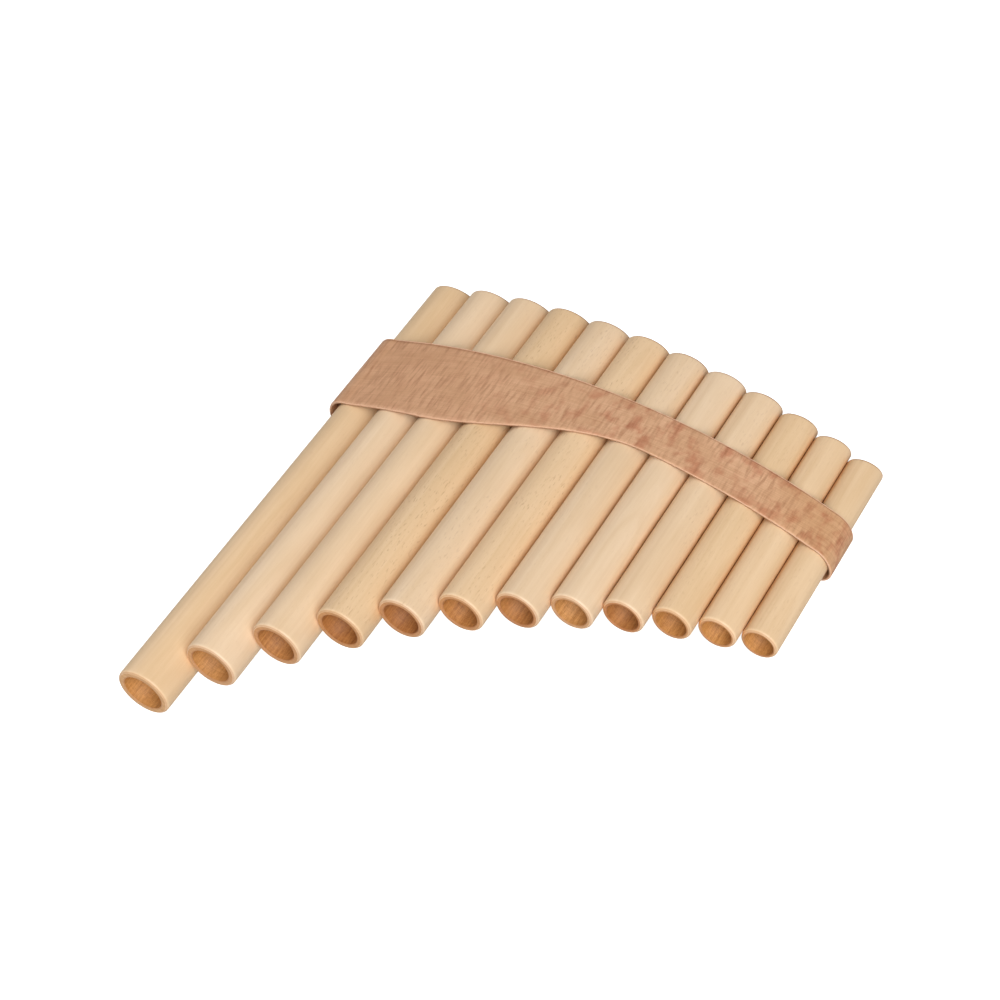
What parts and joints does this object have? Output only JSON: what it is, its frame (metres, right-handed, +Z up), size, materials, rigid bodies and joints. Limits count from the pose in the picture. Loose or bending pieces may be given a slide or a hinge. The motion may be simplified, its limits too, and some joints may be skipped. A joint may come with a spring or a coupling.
{
  "type": "pan flute",
  "caption": "Curved wooden pan flute: a row of stopped maple pipes of falling length on an arc, held by a thin bent wooden strip.",
  "frame": {"origin": "under the middle of the flute as it lies on its hollow side, at the height of the surface it rests on", "axes": "+Z up, out of the convex side; +Y along the pipes towards the blown ends; +X across the row towards the short pipes"},
  "size_m": [0.2248, 0.2376, 0.04],
  "materials": {
    "maple": "pale maple with a thin satin oil finish",
    "band_wood": "reddish-brown bent hardwood strip, satin",
    "cork": "natural cork, matt"
  },
  "bodies": {
    "root": {"pipe_01": "maple", "pipe_02": "maple", "pipe_03": "maple", "pipe_04": "maple", "pipe_05": "maple", "pipe_06": "maple", "pipe_07": "maple", "pipe_08": "maple", "pipe_09": "maple", "pipe_10": "maple", "pipe_11": "maple", "pipe_12": "maple", "front_band": "band_wood", "back_band": "band_wood"},
    "stopper_01": {"stopper_01": "cork"},
    "stopper_02": {"stopper_02": "cork"},
    "stopper_03": {"stopper_03": "cork"},
    "stopper_04": {"stopper_04": "cork"},
    "stopper_05": {"stopper_05": "cork"},
    "stopper_06": {"stopper_06": "cork"},
    "stopper_07": {"stopper_07": "cork"},
    "stopper_08": {"stopper_08": "cork"},
    "stopper_09": {"stopper_09": "cork"},
    "stopper_10": {"stopper_10": "cork"},
    "stopper_11": {"stopper_11": "cork"},
    "stopper_12": {"stopper_12": "cork"}
  },
  "joints": [
    {"name": "tune_01", "type": "slide", "parent": "root", "child": "stopper_01", "axis": [0, 1, 0], "range_m": [-0.004, 0.004]},
    {"name": "tune_02", "type": "slide", "parent": "root", "child": "stopper_02", "axis": [0, 1, 0], "range_m": [-0.004, 0.004]},
    {"name": "tune_03", "type": "slide", "parent": "root", "child": "stopper_03", "axis": [0, 1, 0], "range_m": [-0.004, 0.004]},
    {"name": "tune_04", "type": "slide", "parent": "root", "child": "stopper_04", "axis": [0, 1, 0], "range_m": [-0.004, 0.004]},
    {"name": "tune_05", "type": "slide", "parent": "root", "child": "stopper_05", "axis": [0, 1, 0], "range_m": [-0.004, 0.004]},
    {"name": "tune_06", "type": "slide", "parent": "root", "child": "stopper_06", "axis": [0, 1, 0], "range_m": [-0.004, 0.004]},
    {"name": "tune_07", "type": "slide", "parent": "root", "child": "stopper_07", "axis": [0, 1, 0], "range_m": [-0.004, 0.004]},
    {"name": "tune_08", "type": "slide", "parent": "root", "child": "stopper_08", "axis": [0, 1, 0], "range_m": [-0.004, 0.004]},
    {"name": "tune_09", "type": "slide", "parent": "root", "child": "stopper_09", "axis": [0, 1, 0], "range_m": [-0.004, 0.004]},
    {"name": "tune_10", "type": "slide", "parent": "root", "child": "stopper_10", "axis": [0, 1, 0], "range_m": [-0.004, 0.004]},
    {"name": "tune_11", "type": "slide", "parent": "root", "child": "stopper_11", "axis": [0, 1, 0], "range_m": [-0.004, 0.004]},
    {"name": "tune_12", "type": "slide", "parent": "root", "child": "stopper_12", "axis": [0, 1, 0], "range_m": [-0.004, 0.004]}
  ]
}
